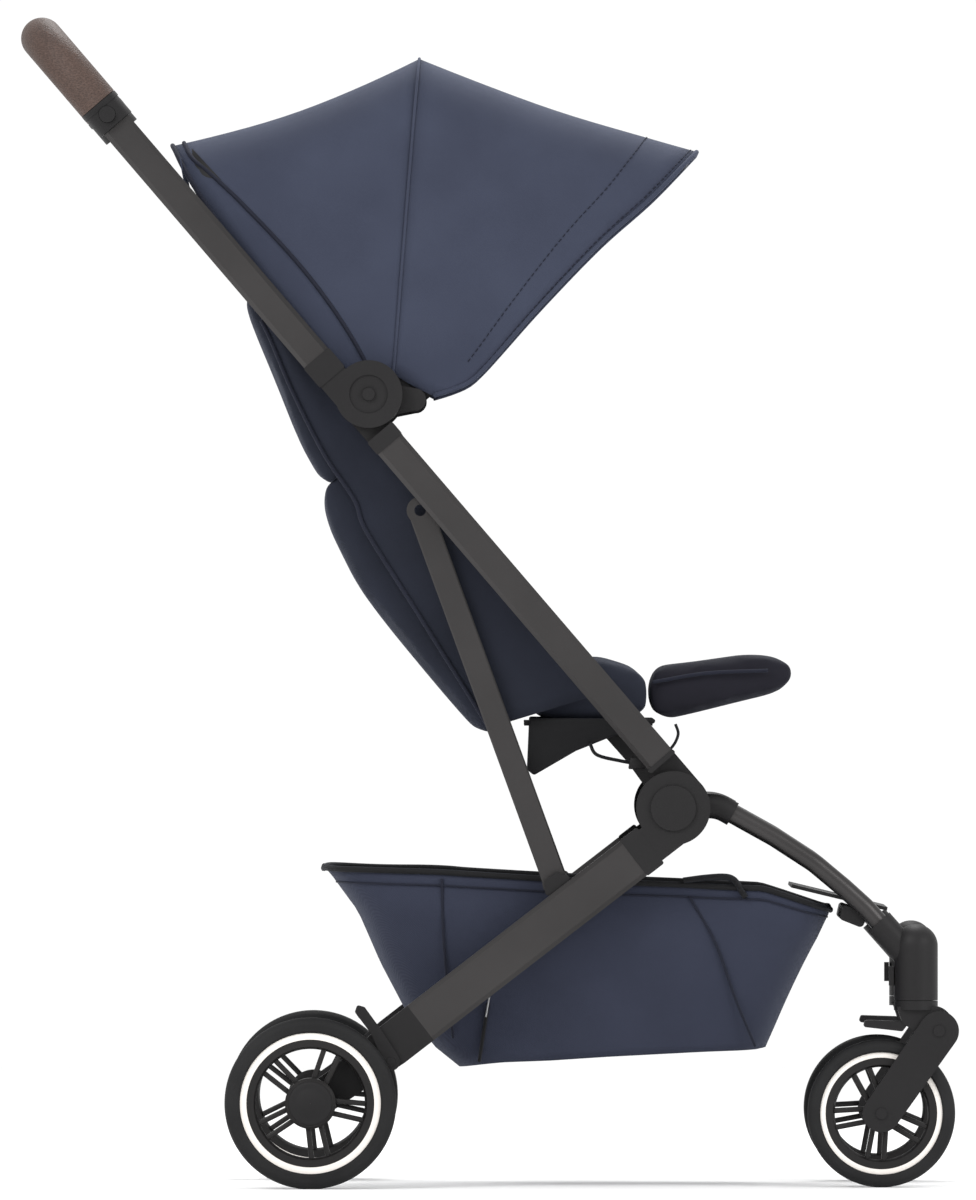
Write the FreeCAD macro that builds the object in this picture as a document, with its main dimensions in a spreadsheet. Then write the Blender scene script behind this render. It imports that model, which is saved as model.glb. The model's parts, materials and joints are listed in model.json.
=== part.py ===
"""Folding travel stroller, modelled as an assembly of separate pieces.

Frame: millimetres, +X forward, +Y to the stroller's left, +Z up.  The origin lies on the
floor, in the middle of the stroller.  Two directions run through the whole design: the line of
the push tubes and the line of the rear legs, both measured from the big hub beside the seat.
"""
import FreeCAD, Part
import math
import os
import re

SIZES = {
    # push tubes: a flat-sided section with bevelled edges
    "tube_deep": 27.6, "tube_wide": 20.0, "tube_wall": 1.8, "tube_bevel": 3.8,
    "side_y": 184.0, "push_slope": 49.4,
    # hub beside the seat, where push tube, rear leg and front leg meet
    "hub_x": 161.9, "hub_z": 336.7, "hub_back": 19.1, "hub_disc": 32.8, "hub_ear": 30.0,
    "cross_radius": 11.0, "cross_wall": 2.0,
    # stations up the push tube, from the hub
    "lower_start": 40.5, "lower_end": 407.8, "fold_at": 454.0, "fold_front": 14.6,
    "upper_start": 508.6, "upper_end": 780.3, "collar_long": 24.4, "handle_at": 882.6,
    "fold_ear": 30.0, "fold_screw": 5.6, "block_gap": 32.0,
    # handle
    "grip_radius": 18.6, "grip_corner": 46.0, "collar_radius": 18.0, "lip_radius": 18.8,
    "button_radius": 7.3, "button_room": 0.3,
    # rear leg and its foot
    "leg_slope": 37.7, "leg_below": 13.6, "leg_deep": 38.6, "leg_start": 55.0,
    "leg_end": 293.4, "foot_flange": 325.5, "rear_axle_at": 413.7, "rear_axle_up": 3.6,
    "axle_radius": 8.0, "stub_radius": 5.0,
    # struts between the push tubes and the rear legs
    "strut_deep": 22.0, "strut_thick": 6.2, "strut_in": 14.4,
    "strut_top_at": 346.2, "strut_top_back": 17.7, "strut_foot_at": 123.0, "strut_foot_up": 24.4,
    # front legs and casters
    "front_y": 140.0, "front_tube": 8.5, "front_wall": 1.5, "front_ear": 24.0,
    "front_ear_wide": 18.0, "sleeve_radius": 11.0,
    "caster_x": 377.4, "housing_radius": 19.5, "housing_foot": 166.0, "housing_top": 214.0,
    "crown_foot": 157.4, "kingpin_radius": 6.0, "kingpin_top": 204.0, "caster_gap": 0.4,
    "pivot_x": 397.8, "pivot_z": 138.9, "pivot_pin": 5.0, "pill_top": 17.6, "pill_foot": 16.7,
    "lug_radius": 13.0, "lug_wide": 28.0, "pill_thick": 4.0, "pill_gap": 0.5,
    # wheels
    "front_wheel": 65.6, "front_seat": 54.5, "front_hole": 43.7, "front_hub": 14.0,
    "front_wheel_x": 346.7, "rear_wheel": 76.0, "rear_seat": 62.7, "rear_hole": 48.4,
    "rear_hub": 23.0, "tyre_wide": 24.0, "rim_wide": 18.0, "wheel_out": 31.5,
    "spoke_wide": 15.0, "spoke_thick": 9.0, "axle_room": 0.1, "tyre_round": 7.0,
    # canopy
    "canopy_x": -67.2, "canopy_z": 698.7, "rear_bow": 300.0, "middle_bow": 288.0,
    "front_bow": 322.0, "bow_thick": 2.0, "bow_wide": 10.0, "bow_gap": 0.4, "bow_corner": 45.0,
    "bow_y": 166.0, "canopy_y": 169.8, "canopy_wall": 2.8, "rivet_radius": 2.5,
    "clamp_y": 169.4, "clamp_thick": 6.2, "clamp_radius": 10.0,
    # seat, backrest and leg rest
    "seat_y": 150.0, "pan_z": 409.5, "pan_thick": 4.0, "bracket_y": 100.0, "bracket_thick": 8.0,
    "back_y": 152.0, "rest_y": 142.0,
    # basket
    "basket_y": 156.0, "basket_wall": 3.0,
    # small parts
    "plate_y": 128.0, "pedal_out": 14.2, "pedal_wide": 6.6,
    "pedal_pin": 4.0, "pin_room": 0.1, "fit": 0.3,
}

doc = FreeCAD.newDocument("stroller")
sheet = doc.addObject("Spreadsheet::Sheet", "Sizes")
for row, (alias, number) in enumerate(SIZES.items(), start=1):
    sheet.set(f"A{row}", alias)
    sheet.set(f"B{row}", str(number))
    sheet.setAlias(f"B{row}", alias)
doc.recompute()

NAME = re.compile(r"[a-z]+_[a-z_]+|fit")
V = FreeCAD.Vector
nodes = {}


def size(alias):
    """The number in one cell of the sheet."""
    return float(sheet.get(alias))


def bind(thing, field, rule):
    """Tie a property to a rule written with the sheet's names."""
    thing.setExpression(field, NAME.sub(lambda found: "Sizes." + found.group(0), rule))


def keep(label, thing):
    """Name a finished sub-part."""
    thing.Label = label
    nodes[label] = thing
    return thing


# ---------------------------------------------------------------- directions of the frame

def turned_to(slope, along, across):
    """Offset (x, z) along a line that climbs rearwards at a slope, and across it, frontwards."""
    c, s = math.cos(math.radians(slope)), math.sin(math.radians(slope))
    return (-along * c + across * s, along * s + across * c)


def on_tube(along, across=0.0):
    """Point (x, z) at a station up the push tube and in front of its centreline."""
    x, z = turned_to(size("push_slope"), along, across + size("hub_back"))
    return (size("hub_x") + x, size("hub_z") + z)


def on_leg(along, across=0.0):
    """Point (x, z) at a station down the rear leg and above its centreline."""
    c = math.cos(math.radians(size("leg_slope")))
    s = math.sin(math.radians(size("leg_slope")))
    above = across - size("leg_below")
    return (size("hub_x") - along * c - above * s, size("hub_z") - along * s + above * c)


HUB = (size("hub_x"), size("hub_z"))
FOLD = on_tube(size("fold_at"), size("fold_front"))
REAR_WHEEL = on_leg(size("rear_axle_at"), size("rear_axle_up"))
FRONT_WHEEL = (size("front_wheel_x"), size("front_wheel"))
PIVOT = (size("pivot_x"), size("pivot_z"))
CANOPY = (size("canopy_x"), size("canopy_z"))
STRUT_TOP = on_tube(size("strut_top_at"), -size("strut_top_back"))
STRUT_FOOT = on_leg(size("strut_foot_at"), size("strut_foot_up"))
REAR_Y = size("side_y") + size("wheel_out")
STRUT_Y = size("side_y") - size("strut_in")
SIDES = (("right", -1), ("left", 1))


# ---------------------------------------------------------------- drawing helpers

def run(points, closed=True):
    """Lines and arcs through corners (x, y, radius) or (vector, radius); radius 0 is sharp."""
    corners = [(p[0], p[1]) if isinstance(p[0], V) else (V(p[0], p[1], 0), (p + (0,))[2])
               for p in points]
    count = len(corners)
    ends = []
    for i, (b, radius) in enumerate(corners):
        if radius == 0 or (not closed and i in (0, count - 1)):
            ends.append((b, b, None))
            continue
        before = (corners[i - 1][0] - b).normalize()
        after = (corners[(i + 1) % count][0] - b).normalize()
        half = math.acos(max(-1, min(1, before.dot(after)))) / 2
        reach = radius / math.tan(half)
        inward = (before + after).normalize()
        middle = b + inward * (radius / math.sin(half) - radius)
        start, end = b + before * reach, b + after * reach
        ends.append((start, end, Part.Arc(start, middle, end)))
    pieces = []
    for i, (start, end, arc) in enumerate(ends):
        if arc:
            pieces.append(arc)
        if closed or i < count - 1:
            following = ends[(i + 1) % count][0]
            if (following - end).Length > 1e-6:
                pieces.append(Part.LineSegment(end, following))
    return pieces


def sketch_in(body, role, outlines, shift=None):
    """A sketch on one of the body's own planes, moved along the plane's normal by a rule."""
    plane = [f for f in body.Origin.OriginFeatures if f.Role == role][0]
    sketch = body.newObject("Sketcher::SketchObject", "Outline")
    sketch.AttachmentSupport = [(plane, "")]
    sketch.MapMode = "FlatFace"
    if shift:
        bind(sketch, "AttachmentOffset.Base.z", shift)
    for outline in outlines:
        sketch.addGeometry(outline, False)
    return sketch


def pad(body, sketch, length, middle=True):
    """Pad a sketch by a rule, evenly to both sides or one way."""
    feature = body.newObject("PartDesign::Pad", "Pad")
    feature.Profile = sketch
    bind(feature, "Length", length)
    if middle:
        feature.SideType = "Symmetric"
    body.Tip = feature
    return feature


def pocket(body, sketch, length):
    """Cut a sketch out of the body, evenly to both sides."""
    feature = body.newObject("PartDesign::Pocket", "Pocket")
    feature.Profile = sketch
    bind(feature, "Length", length)
    feature.SideType = "Symmetric"
    body.Tip = feature
    return feature


def plates(label, layers):
    """A body of flat layers; each is (outline points or (x, z, radius), side, middle, width)."""
    body = doc.addObject("PartDesign::Body", "Body")
    for shape, side, middle, width in layers:
        outline = circle(*shape) if isinstance(shape, tuple) else run(shape)
        shift = f"-1 * ({middle})" if side > 0 else f"1 * ({middle})"
        pad(body, sketch_in(body, "XZ_Plane", [outline], shift), width)
    return keep(label, body)


def circle(x, z, radius):
    return [Part.Circle(V(x, z, 0), V(0, 0, 1), radius)]


def turned(points, placement):
    """A body turned about its own Y axis from an outline of (y, radius) points."""
    body = doc.addObject("PartDesign::Body", "Body")
    sketch = sketch_in(body, "YZ_Plane", [run(points)])
    feature = body.newObject("PartDesign::Revolution", "Turning")
    feature.Profile = sketch
    feature.ReferenceAxis = (sketch, ["H_Axis"])
    feature.Angle = 360
    body.Tip = feature
    body.Placement = placement
    return body


def at(point, y=0.0):
    return FreeCAD.Placement(V(point[0], y, point[1]), FreeCAD.Rotation())


def cylinder(radius, length, base, axis):
    """A cylinder whose radius and length follow rules."""
    thing = doc.addObject("Part::Cylinder", "Cylinder")
    bind(thing, "Radius", radius)
    bind(thing, "Height", length)
    thing.Placement = FreeCAD.Placement(V(*base), FreeCAD.Rotation(V(0, 0, 1), V(*axis)))
    return thing


def across(radius, length, point, y):
    """A cylinder along Y, centred at a side-view point and a y."""
    thing = cylinder(radius, length, (point[0], y, point[1]), (0, 1, 0))
    rotation = FreeCAD.Rotation(V(0, 0, 1), V(0, 1, 0))
    bind(thing, "Placement.Base.y", f"{y} - ({length}) / 2")
    thing.Placement.Rotation = rotation
    return thing


def fuse(*things):
    joined = doc.addObject("Part::MultiFuse", "Fuse")
    joined.Shapes = list(things)
    joined.Refine = True
    return joined


def cut(base, *tools):
    result = doc.addObject("Part::Cut", "Cut")
    result.Base = base
    result.Tool = tools[0] if len(tools) == 1 else fuse(*tools)
    return result


def swept(label, path, radius, hollow=0.0):
    """A round bar or tube along a bent path, as its own feature."""
    spine = Part.Wire([piece.toShape() for piece in run(path, closed=False)])
    start, toward = path[0][0], path[1][0] - path[0][0]

    def sweep(section_radius):
        ring = Part.Wire([Part.Circle(start, toward, section_radius).toShape()])
        return spine.makePipeShell([ring], True, False)

    thing = doc.addObject("Part::Feature", "Swept")
    thing.Shape = sweep(radius).cut(sweep(radius - hollow)) if hollow else sweep(radius)
    return keep(label, thing) if label else thing


def beam(label, start, end, y, deep, wide, wall=None):
    """A straight bar between two side-view points, with bevelled edges and a hollow core."""
    body = doc.addObject("PartDesign::Body", "Body")
    bevel = size("tube_bevel") if wall else 1.2

    def section(a, b, c):
        return run([(-a, -b + c), (-a + c, -b), (a - c, -b), (a, -b + c),
                    (a, b - c), (a - c, b), (-a + c, b), (-a, b - c)])

    loops = [section(deep / 2, wide / 2, bevel)]
    if wall:
        loops.append(section(deep / 2 - wall, wide / 2 - wall, bevel * 0.7))
    sketch = sketch_in(body, "XY_Plane", loops)
    feature = body.newObject("PartDesign::Pad", "Pad")
    feature.Profile = sketch
    feature.Length = math.hypot(end[0] - start[0], end[1] - start[1])
    body.Tip = feature
    toward = V(end[0] - start[0], 0, end[1] - start[1])
    angle = math.degrees(math.atan2(toward.x, toward.z))
    body.Placement = FreeCAD.Placement(V(start[0], y, start[1]),
                                       FreeCAD.Rotation(V(0, 1, 0), angle))
    return keep(label, body)


# ---------------------------------------------------------------- push tubes and fold hinges

def push_tubes():
    deep, wide, wall = size("tube_deep"), size("tube_wide"), size("tube_wall")
    for name, side in SIDES:
        y = side * size("side_y")
        beam(f"lower_tube_{name}", on_tube(size("lower_start")), on_tube(size("lower_end")),
             y, deep, wide, wall)
        beam(f"upper_tube_{name}", on_tube(size("upper_start")), on_tube(size("upper_end")),
             y, deep, wide, wall)


def block(start, end, half):
    """A rectangle along the push tube between two stations."""
    return [(*on_tube(start, -half), 2), (*on_tube(end, -half), 2),
            (*on_tube(end, half), 2), (*on_tube(start, half), 2)]


def fold_hinges():
    half = size("tube_deep") / 2 + 0.8
    ear, gap, hub = size("fold_ear"), size("block_gap"), size("fold_at")
    for name, side in SIDES:
        plates(f"lower_hinge_{name}", [
            (block(size("lower_end"), hub - gap, half), side, "side_y", "tube_wide + 2.4"),
            (block(hub - gap - 8, hub, half - 1), side, "side_y - 5.15", "9.7"),
            ((*FOLD, ear), side, "side_y - 5.15", "9.7"),
            ((*FOLD, size("fold_screw")), side, "side_y + 2.75", "17.5")])
        upper = plates(f"upper_hinge_{name}", [
            (block(hub + gap, size("upper_start"), half), side, "side_y", "tube_wide + 2.4"),
            (block(hub, hub + gap + 8, half - 1), side, "side_y + 5.15", "9.7"),
            ((*FOLD, ear), side, "side_y + 5.15", "9.7")])
        recess = across(f"fold_ear * 0.57", "3", FOLD, side * (size("side_y") + 9.5))
        bore = across("fold_screw + pin_room", "40", FOLD, side * (size("side_y") + 15))
        keep(f"upper_hinge_{name}", cut(upper, recess, bore))
        upper.Label = f"hinge_blank_{name}"


def handle():
    centre, y = size("handle_at"), size("side_y")
    start = size("upper_end") + size("collar_long") + 0.6

    def spot(along, side_y):
        x, z = on_tube(along)
        return V(x, side_y, z)

    corner = size("grip_corner")
    swept("handle_grip", [(spot(start, -y), 0), (spot(centre, -y), corner),
                          (spot(centre, y), corner), (spot(start, y), 0)], size("grip_radius"))
    slope = math.radians(size("push_slope"))
    up = (-math.cos(slope), 0, math.sin(slope))
    collars = []
    for name, side in SIDES:
        x, z = on_tube(size("upper_end") + 0.3)
        ring = cylinder("collar_radius", "collar_long", (x, side * y, z), up)
        x, z = on_tube(size("upper_end") + size("collar_long") - 5)
        lip = cylinder("lip_radius", "5", (x, side * y, z), up)
        middle = on_tube(size("upper_end") + size("collar_long") / 2)
        well = across("button_radius + button_room", "10", middle, side * (y + 17.5))
        collars.append(cut(fuse(ring, lip), well))
        button = across("button_radius", "6.5", middle, side * (y + 18.6))
        keep(f"handle_button_{name}", button)
    keep("handle_collars", fuse(*collars))


# ---------------------------------------------------------------- hub, rear legs and axle

def leg_block(start, end, half):
    return [(*on_leg(start, -half), 2), (*on_leg(end, -half), 2),
            (*on_leg(end, half), 2), (*on_leg(start, half), 2)]


def hubs():
    half = size("tube_deep") / 2 + 0.8
    leg_half = size("leg_deep") / 2 + 0.7
    for name, side in SIDES:
        plates(f"hub_socket_{name}", [
            (block(36, size("lower_start"), half), side, "side_y", "tube_wide + 2.4"),
            (block(0, 40, half - 1), side, "side_y - 5.15", "9.7"),
            ((*HUB, size("hub_ear")), side, "side_y - 5.15", "9.7"),
            ((*HUB, 8), side, "side_y + 2.75", "17.5")])
        blank = plates(f"rear_hub_{name}", [
            (leg_block(36, size("leg_start"), leg_half), side, "side_y", "tube_wide + 2.4"),
            (leg_block(8, 40, leg_half - 3), side, "side_y + 5.65", "10.7"),
            ((*HUB, size("hub_disc")), side, "side_y + 5.65", "10.7"),
            ((*HUB, 20), side, "side_y + 12", "4")])
        bore = across("8 + pin_room", "16", HUB, side * (size("side_y") + 4.2))
        keep(f"rear_hub_{name}", cut(blank, bore))
        blank.Label = f"rear_hub_blank_{name}"
    inner = 2 * (size("side_y") - 10)
    outer = across("cross_radius", f"{inner}", HUB, 0)
    core = across("cross_radius - cross_wall", f"{inner + 2}", HUB, 0)
    keep("hub_cross_tube", cut(outer, core))


def rear_legs():
    for name, side in SIDES:
        y = side * size("side_y")
        beam(f"rear_leg_{name}", on_leg(size("leg_start")), on_leg(size("leg_end")), y,
             size("leg_deep"), size("tube_wide"), size("tube_wall"))
        half = size("leg_deep") / 2
        flange, wheel = size("foot_flange"), size("rear_axle_at")
        shape = [(*on_leg(size("leg_end"), half), 0), (*on_leg(flange, half), 8),
                 (*on_leg(wheel - 30, 16), 10), (*on_leg(wheel + 16, 18), 14),
                 (*on_leg(wheel + 16, -12), 14), (*on_leg(flange, -half), 10),
                 (*on_leg(size("leg_end"), -half), 0)]
        blank = plates(f"leg_foot_{name}", [
            (shape, side, "side_y", "tube_wide"),
            ((*PEDAL, size("pedal_pin")), side, "side_y + 13", "10")])
        bore = across("axle_radius", "40", REAR_WHEEL, y)
        keep(f"leg_foot_{name}", cut(blank, bore))
        blank.Label = f"leg_foot_blank_{name}"
    tip = REAR_Y + size("tyre_wide") / 2 - 2
    step = REAR_Y - size("tyre_wide") / 2 - 1.5
    keep("rear_axle", turned([(-tip, 0), (tip, 0), (tip, size("stub_radius")),
                              (step, size("stub_radius")), (step, size("axle_radius")),
                              (-step, size("axle_radius")), (-step, size("stub_radius")),
                              (-tip, size("stub_radius"))], at(REAR_WHEEL)))


PEDAL = on_leg(335, -11)


def brake_pedal():
    x, z = PEDAL
    lever = [(x - 6, z - 2), (x + 6, z + 6), (x - 7, z + 26, 10), (x - 23, z + 48, 3),
             (x - 30, z + 50, 2), (x - 32, z + 44, 2), (x - 17, z + 24, 12)]
    tread = [(x - 19.5, z + 41, 2), (x - 23, z + 48, 3), (x - 30, z + 50, 2), (x - 32, z + 44, 2),
             (x - 27.5, z + 37.5, 2)]
    blank = plates("brake_pedal", [(lever, -1, "side_y + pedal_out", "pedal_wide"),
                                   (tread, -1, "side_y + 4.5", "26"),
                                   ((x, z, 8), -1, "side_y + pedal_out", "pedal_wide")])
    bore = across("pedal_pin + pin_room", "60", PEDAL, -size("side_y") - size("pedal_out"))
    keep("brake_pedal", cut(blank, bore))
    blank.Label = "pedal_blank"


def struts():
    for name, side in SIDES:
        y = side * STRUT_Y
        bar = beam(f"strut_bar_{name}", STRUT_TOP, STRUT_FOOT, y, size("strut_deep"),
                   size("strut_thick"))
        ends = [across("strut_deep / 2 + 1", "strut_thick", point, y)
                for point in (STRUT_TOP, STRUT_FOOT)]
        holes = [across("5 + pin_room", "strut_thick + 4", point, y)
                 for point in (STRUT_TOP, STRUT_FOOT)]
        keep(f"strut_{name}", cut(fuse(bar, *ends), *holes))
        del nodes[f"strut_bar_{name}"]
    spot, top = size("strut_foot_at"), size("leg_deep") / 2
    tall = size("strut_foot_up") + 8
    lug = [(*on_leg(spot - 16, top), 3), (*on_leg(spot - 6, tall), 5),
           (*on_leg(spot + 6, tall), 5), (*on_leg(spot + 16, top), 3)]
    layers = []
    for name, side in SIDES:
        layers.append(((*STRUT_FOOT, 5), side, "side_y - 12.5", "12"))
        layers.append((lug, side, "side_y - 3", "10"))
    both = [plates(f"bracket_{name}", layers[2 * i:2 * i + 2]) for i, (name, _) in
            enumerate(SIDES)]
    for name, side in SIDES:
        del nodes[f"bracket_{name}"]
    keep("strut_brackets", fuse(*both))


# ---------------------------------------------------------------- front legs and casters

def leg_line():
    """Corners of the front leg's centreline, from its sleeve to the caster housing."""
    x, z = HUB
    return [(x + 53.2, z - 5.7, 0), (x + 89.9, z - 26.1, 60), (x + 125.3, z - 49.1, 60),
            (x + 151.8, z - 71.2, 60), (x + 171.3, z - 88.9, 60), (x + 191.7, z - 111.9, 0)]


def front_legs():
    line = leg_line()
    top, foot = line[0], line[-1]
    for name, side in SIDES:
        y = side * size("front_y")
        swept(f"front_leg_{name}", [(V(px, y, pz), r) for px, pz, r in line],
              size("front_tube"), size("front_wall"))
        ear = across("front_ear", "front_ear_wide", HUB, y)
        sleeve = swept(None, [(V(HUB[0] + 14, y, HUB[1]), 0), (V(top[0] - 14, y, top[1] + 7.8), 30),
                              (V(top[0], y, top[1]), 0)], size("sleeve_radius"))
        bore = across("cross_radius + pin_room", "40", HUB, y)
        keep(f"front_hub_{name}", cut(fuse(ear, sleeve), bore))
        housing(name, y, foot, line[-2])


def housing(name, y, foot, before):
    """The upright caster housing with the socket that takes the front leg."""
    x, z = size("caster_x"), size("housing_foot")
    barrel = cylinder("housing_radius", "housing_top - housing_foot", (x, y, z), (0, 0, 1))
    dome = doc.addObject("Part::Sphere", "Dome")
    bind(dome, "Radius", "housing_radius")
    dome.Placement.Base = V(x, y, size("housing_top"))
    axis = V(foot[0] - before[0], 0, foot[1] - before[1]).normalize()
    mouth = V(foot[0], y, foot[1]) - axis * 14
    socket = cylinder("sleeve_radius + 2", "36", tuple(mouth), tuple(axis))
    seat = cylinder("front_tube", "14", tuple(mouth), tuple(axis))
    bore = cylinder("kingpin_radius + pin_room", "kingpin_top + 1 - housing_foot",
                    (x, y, z), (0, 0, 1))
    keep(f"caster_housing_{name}", cut(fuse(barrel, dome, socket), seat, bore))
    tab = doc.addObject("Part::Box", "Tab")
    tab.Length, tab.Width, tab.Height = 4.2, 10, 17
    tab.Placement.Base = V(x - size("housing_radius") - size("fit") - 4.2, y - 5, z + 13)
    keep(f"swivel_lock_{name}", tab)


def casters():
    x, foot = size("caster_x"), size("crown_foot")
    top = size("housing_foot") - size("caster_gap")
    px, pz = PIVOT
    for name, side in SIDES:
        y = side * size("front_y")
        crown = cylinder("housing_radius", f"{top - foot}", (x, y, foot), (0, 0, 1))
        kingpin = cylinder("kingpin_radius", f"kingpin_top - {foot}", (x, y, foot), (0, 0, 1))
        lug = plates(f"lug_{name}", [
            ([(x - 17, foot + 3), (x + 19, foot + 3), (px + 8, pz + 3, 4), (px, pz - 13, 8),
              (px - 12, pz - 6, 6), (x - 12, foot - 12, 6)], side, "front_y", "lug_wide"),
            ((*PIVOT, size("lug_radius")), side, "front_y", "lug_wide"),
            ([(x - 6, foot - 11), (x - 12, foot - 19, 2), (x - 47, foot - 15, 2),
              (x - 45, foot - 9, 2), (x - 14, foot - 10)], side, "front_y", "26")])
        del nodes[f"lug_{name}"]
        hole = across("pivot_pin + pin_room", "60", PIVOT, y)
        keep(f"caster_fork_{name}", cut(fuse(crown, kingpin, lug), hole))
        suspension(name, side)


def suspension(name, side):
    """Two pills beside the wheel, joined by the pivot pin and the wheel axle."""
    ax, az = FRONT_WHEEL
    px, pz = PIVOT
    y = side * size("front_y")
    reach = math.hypot(px - ax, pz - az)
    nx, nz = -(pz - az) / reach, (px - ax) / reach
    top, low = size("pill_top"), size("pill_foot")
    web = [(px + nx * top, pz + nz * top), (ax + nx * low, az + nz * low),
           (ax - nx * low, az - nz * low), (px - nx * top, pz - nz * top)]
    offset = size("lug_wide") / 2 + size("pill_gap") + size("pill_thick") / 2
    parts = []
    for way in (-1, 1):
        for shape in ((px, pz, top), (ax, az, low), web):
            parts.append((shape, side, f"front_y + {way * offset * side}", "pill_thick"))
    full = 2 * offset + size("pill_thick")
    parts.append(((px, pz, size("pivot_pin")), side, "front_y", f"{full + 3}"))
    parts.append(((ax, az, size("stub_radius")), side, "front_y", f"{full + 3}"))
    plates(f"suspension_arm_{name}", parts)


# ---------------------------------------------------------------- wheels

def wheels():
    for name, side in SIDES:
        wheel(f"front_wheel_{name}", FRONT_WHEEL, side * size("front_y"), "front", side)
        wheel(f"rear_wheel_{name}", REAR_WHEEL, side * REAR_Y, "rear", side)


def wheel(label, centre, y, kind, side):
    """A tyre and a rim with five spokes."""
    radius, seat, hole = (size(f"{kind}_wheel"), size(f"{kind}_seat"), size(f"{kind}_hole"))
    hub = size(f"{kind}_hub")
    half, rim, curve = size("tyre_wide") / 2, size("rim_wide") / 2, size("tyre_round")
    keep(label.replace("wheel", "tyre"),
         turned([(-half, seat, 2), (half, seat, 2), (half, radius, curve),
                 (-half, radius, curve)], at(centre, y)))
    ring = turned([(-rim, hole), (rim, hole), (rim, seat - 1.5), (rim - 2, seat), (2 - rim, seat),
                   (-rim, seat - 1.5)], at(centre, y))
    boss = across(f"{kind}_hub", "tyre_wide", centre, y)
    spokes = []
    for index in range(5):
        spoke = doc.addObject("Part::Box", "Spoke")
        bind(spoke, "Length", "spoke_wide")
        bind(spoke, "Width", "spoke_thick")
        spoke.Height = hole - hub + 6
        turn = FreeCAD.Rotation(V(0, 1, 0), 23 - 72 * index)
        corner = V(-size("spoke_wide") / 2, -size("spoke_thick") / 2, hub - 3)
        spoke.Placement = FreeCAD.Placement(V(centre[0], y, centre[1]) + turn * corner, turn)
        spokes.append(spoke)
    bore = across("stub_radius + axle_room", "60", centre, y)
    keep(label.replace("wheel", "rim"), cut(fuse(ring, boss, *spokes), bore))


# ---------------------------------------------------------------- canopy

def bow(label, angle, reach, half):
    """A flat U-shaped bow that stands on the canopy pivots at an angle from forward."""
    thick, corner = size("bow_thick"), size("bow_corner")
    body = doc.addObject("PartDesign::Body", "Body")
    strip = run([(-9, -half), (reach, -half, corner), (reach, half, corner), (-9, half),
                 (-9, half - thick), (reach - thick, half - thick, corner - thick),
                 (reach - thick, thick - half, corner - thick), (-9, thick - half)])
    pad(body, sketch_in(body, "XY_Plane", [strip]), "bow_wide")
    body.Placement = FreeCAD.Placement(V(CANOPY[0], 0, CANOPY[1]),
                                       FreeCAD.Rotation(V(0, 1, 0), -angle))
    hole = across("rivet_radius + pin_room", "400", CANOPY, 0)
    body.Label = label + "_blank"
    keep(label, cut(body, hole))


def canopy():
    step = size("bow_thick") + size("bow_gap")
    y = size("bow_y")
    bow("canopy_rear_bow", 132.5, size("rear_bow"), y)
    bow("canopy_middle_bow", 88.9, size("middle_bow"), y - step)
    bow("canopy_front_bow", 41.8, size("front_bow"), y - 2 * step)
    clamps = []
    for name, side in SIDES:
        reach = size("clamp_radius")
        (cx, cz), (fx, fz) = CANOPY, FOLD
        arm = [(fx + 4, fz + 12), (cx, cz + reach), (cx, cz - reach), (fx + 4, fz - 22, 10)]
        clamps.append(plates(f"clamp_{name}", [
            (arm, side, "clamp_y", "clamp_thick"),
            ((cx, cz, reach), side, "clamp_y", "clamp_thick"),
            ((fx, fz, 22), side, "clamp_y", "clamp_thick"),
            ((cx, cz, size("rivet_radius")), side, "clamp_y - 6.5", "11"),
            ((cx, cz, 4.5), side, "clamp_y - 12.2", "2")]))
        del nodes[f"clamp_{name}"]
    keep("canopy_clamps", fuse(*clamps))
    outer, wall = size("canopy_y"), size("canopy_wall")
    cx, cz = CANOPY
    apex, seam = (cx + 4.4, cz + 304.0), (cx - 22, cz + 38)
    gap = size("fit") * 2
    rear = [(cx - 214.7, cz + 225.3), (cx - 105.8, cz + 257.1, 90), (cx - 53.6, cz + 276.6, 60),
            (apex[0] - gap, apex[1]), (seam[0] - gap, seam[1]), (cx - 48, cz + 37)]
    front = [apex, (cx + 87.1, cz + 273, 90), (cx + 184.5, cz + 239.4, 90),
             (cx + 248.2, cz + 222.6), (cx + 80.9, cz + 58, 200), (cx + 42.5, cz + 17.3, 20),
             (cx + 8, cz + 23, 20), seam]
    shell("canopy_rear_panel", rear, 0.36, outer, wall)
    shell("canopy_front_panel", front, -0.36, outer, wall)


def shell(label, outline, lean, half, wall):
    """A soft cover: a side-view outline across the stroller, hollow and open but for its top and
    sides.  The lean is the slope of its top, along which the room inside is pulled through."""
    body = doc.addObject("PartDesign::Body", "Body")
    pad(body, sketch_in(body, "XZ_Plane", [run(outline)]), f"{2 * half}")
    body.Label = label + "_blank"
    face = Part.Face(Part.Wire([piece.toShape() for piece in run(outline)]))
    upright = FreeCAD.Matrix()
    upright.A22, upright.A23, upright.A32, upright.A33 = 0, -1, 1, 0
    slab = face.extrude(V(0, 0, 2 * (half - wall)))
    slab.translate(V(0, 0, wall - half))
    slab = slab.transformGeometry(upright)
    pulls = [(0, -wall), (0, -6 * wall), (8, 8 * lean - wall), (-8, -8 * lean - wall)]
    copies = []
    for x, z in pulls:
        copy = slab.copy()
        copy.translate(V(x, 0, z))
        copies.append(copy)
    room = doc.addObject("Part::Feature", "Room")
    room.Shape = copies[0].fuse(copies[1:])
    keep(label, cut(body, room))


# ---------------------------------------------------------------- seat, backrest, basket

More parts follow.
